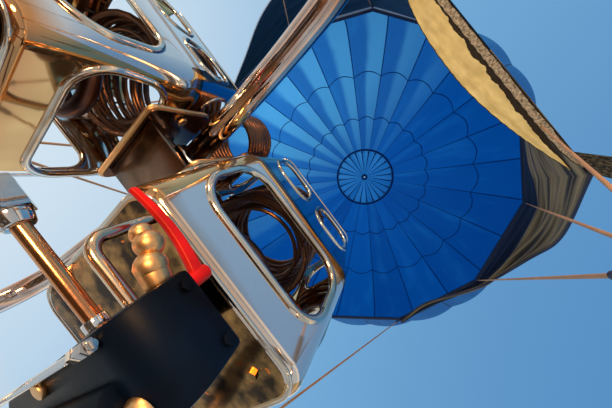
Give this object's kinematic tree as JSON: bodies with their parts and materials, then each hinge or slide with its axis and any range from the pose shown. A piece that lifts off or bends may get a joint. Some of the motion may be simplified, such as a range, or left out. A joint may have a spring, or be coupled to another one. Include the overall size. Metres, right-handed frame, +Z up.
{
  "type": "hot air balloon",
  "caption": "Hot air balloon with a gored envelope, parachute valve, scoop, flying wires, gimballed burner, load frame and wicker basket with fuel cylinders.",
  "frame": {"origin": "on the envelope's axis, level with its widest ring", "axes": "+Z up along the envelope's axis, +X through the two burner cans, +Y away from the scoop"},
  "size_m": [13.6254, 13.6254, 21.6023],
  "materials": {
    "envelope_lower_cloth": "coated ripstop cloth, deep blue",
    "envelope_cloth": "coated ripstop cloth, royal blue",
    "parachute_cloth": "coated ripstop cloth, royal blue",
    "crown_tape": "woven load tape, navy",
    "hoop_cover": "woven tape over cable, navy",
    "scoop_cloth": "flame-proof cloth, khaki with navy edges",
    "wire": "sheathed cable, orange brown",
    "karabiner": "satin steel",
    "frame_steel": "polished stainless tube",
    "arch_steel": "polished stainless tube",
    "can_steel": "mirror-polished stainless sheet",
    "coil_steel": "heat-tinted stainless pipe, dark bronze",
    "black_casting": "satin black",
    "brass_pipe": "bright brass",
    "pipe_steel": "satin stainless pipe",
    "lever_red": "glossy red",
    "wicker": "woven willow, varnished",
    "plywood": "sealed plywood",
    "rim_leather": "brown leather over padding",
    "upright_cover": "padded cover, dark blue",
    "cylinder_paint": "light grey enamel"
  },
  "bodies": {
    "balloon": {"envelope_lower": "envelope_lower_cloth", "envelope_middle": "envelope_cloth", "envelope_upper": "envelope_cloth", "crown_ring_and_tapes": "crown_tape", "mouth_hoop": "hoop_cover", "scoop": "scoop_cloth", "flying_wires_1": "wire", "karabiner_1": "karabiner", "upright_1": "upright_cover", "fuel_cylinder_1": "cylinder_paint", "flying_wires_2": "wire", "karabiner_2": "karabiner", "upright_2": "upright_cover", "fuel_cylinder_2": "cylinder_paint", "flying_wires_3": "wire", "karabiner_3": "karabiner", "upright_3": "upright_cover", "fuel_cylinder_3": "cylinder_paint", "flying_wires_4": "wire", "karabiner_4": "karabiner", "upright_4": "upright_cover", "fuel_cylinder_4": "cylinder_paint", "load_frame": "frame_steel", "basket_walls": "wicker", "basket_floor": "plywood", "basket_runners": "plywood", "basket_rim": "rim_leather"},
    "gimbal": {"carrier_arch": "arch_steel"},
    "burner": {"burner_bracket": "black_casting", "small_coil": "coil_steel", "cross_flow_pipe": "pipe_steel", "can_right": "can_steel", "can_floor_right": "can_steel", "main_coil_right": "coil_steel", "jet_ring_right": "coil_steel", "valve_block_right": "black_casting", "blast_lever_right": "lever_red", "grab_rod_right": "pipe_steel", "pilot_pipe_right": "brass_pipe", "can_left": "can_steel", "can_floor_left": "can_steel", "main_coil_left": "coil_steel", "jet_ring_left": "coil_steel", "valve_block_left": "black_casting", "blast_lever_left": "lever_red", "grab_rod_left": "pipe_steel", "pilot_pipe_left": "brass_pipe"},
    "parachute": {"parachute_valve": "parachute_cloth"}
  },
  "joints": [
    {"name": "gimbal_roll", "type": "hinge", "parent": "balloon", "child": "gimbal", "pos_m": [0, 0, -12.72], "axis": [0, 1, 0], "range_deg": [-7, 17]},
    {"name": "burner_pitch", "type": "hinge", "parent": "gimbal", "child": "burner", "pos_m": [-0.02981, 0, -12.3793], "axis": [0.9962, 0, 0.0872], "range_deg": [-17, 7]},
    {"name": "parachute_slide", "type": "slide", "parent": "balloon", "child": "parachute", "axis": [0, 0, 1], "range_m": [-1.2, 0], "stiffness_N_per_m": 400, "springref_m": 0.35}
  ]
}
